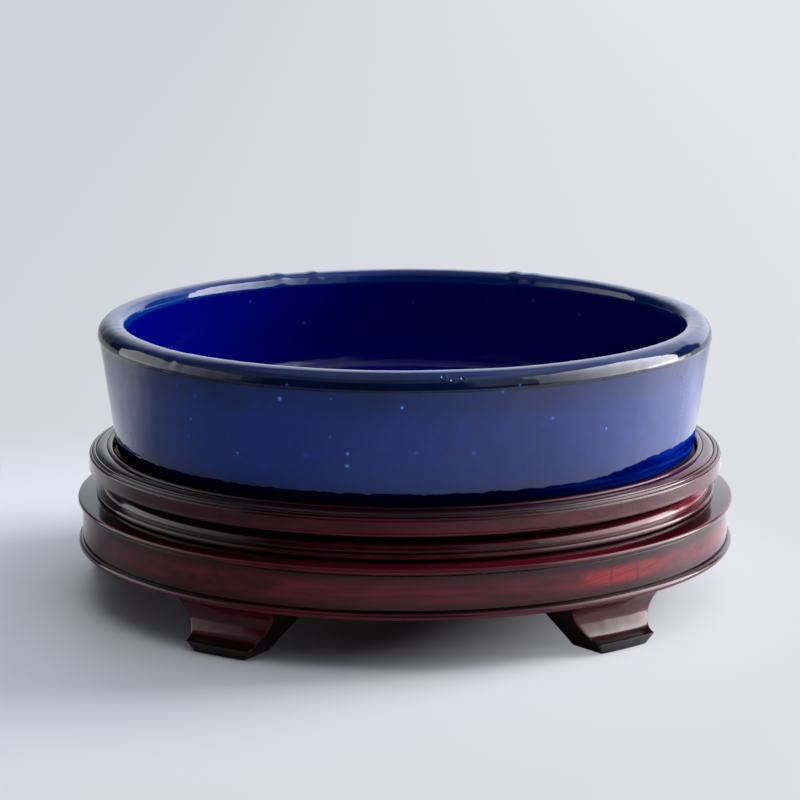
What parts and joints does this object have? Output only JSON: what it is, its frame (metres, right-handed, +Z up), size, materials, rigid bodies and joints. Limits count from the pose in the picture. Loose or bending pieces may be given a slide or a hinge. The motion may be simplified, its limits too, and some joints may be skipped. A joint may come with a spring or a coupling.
{
  "type": "bonsai pot on stand",
  "caption": "Shallow round glazed bonsai pot with a rolled rim and a drain hole, lifting out of a lipped round hardwood stand with moulded rings and bracket feet.",
  "frame": {"origin": "on the floor, under the centre of the pot", "axes": "+Z up along the pot's axis; -Y is the side that faces the viewer, midway between two feet but a few degrees"},
  "size_m": [0.2688, 0.2686, 0.1115],
  "materials": {
    "glaze": "glossy cobalt blue glaze, darker where it thins over the rim",
    "lacquered_wood": "dark red-brown hardwood under clear gloss lacquer",
    "bare_wood": "planed hardwood without lacquer"
  },
  "bodies": {
    "stand": {"upper_frame_1": "lacquered_wood", "upper_frame_2": "lacquered_wood", "upper_frame_3": "lacquered_wood", "upper_frame_4": "lacquered_wood", "upper_frame_5": "lacquered_wood", "waist_1": "lacquered_wood", "waist_2": "lacquered_wood", "waist_3": "lacquered_wood", "waist_4": "lacquered_wood", "waist_5": "lacquered_wood", "base_1": "lacquered_wood", "base_2": "lacquered_wood", "base_3": "lacquered_wood", "base_4": "lacquered_wood", "base_5": "lacquered_wood", "foot_1": "lacquered_wood", "foot_2": "lacquered_wood", "foot_3": "lacquered_wood", "foot_4": "lacquered_wood", "foot_5": "lacquered_wood", "seat_board_1": "bare_wood", "seat_board_2": "bare_wood", "seat_board_3": "bare_wood", "seat_batten_1": "bare_wood", "seat_batten_2": "bare_wood", "frame_spline_1": "bare_wood", "frame_spline_2": "bare_wood", "frame_spline_3": "bare_wood", "frame_spline_4": "bare_wood", "frame_spline_5": "bare_wood", "base_spline_1": "bare_wood", "base_spline_2": "bare_wood", "base_spline_3": "bare_wood", "base_spline_4": "bare_wood", "base_spline_5": "bare_wood", "waist_dowel_1": "bare_wood", "waist_dowel_2": "bare_wood", "waist_dowel_3": "bare_wood", "waist_dowel_4": "bare_wood", "waist_dowel_5": "bare_wood", "foot_dowel_1_left": "bare_wood", "foot_dowel_1_right": "bare_wood", "foot_dowel_2_left": "bare_wood", "foot_dowel_2_right": "bare_wood", "foot_dowel_3_left": "bare_wood", "foot_dowel_3_right": "bare_wood", "foot_dowel_4_left": "bare_wood", "foot_dowel_4_right": "bare_wood", "foot_dowel_5_left": "bare_wood", "foot_dowel_5_right": "bare_wood"},
    "pot": {"pot_body": "glaze"}
  },
  "joints": [
    {"name": "pot_lift", "type": "slide", "parent": "stand", "child": "pot", "axis": [0, 0, 1], "range_m": [0, 0.08]}
  ]
}
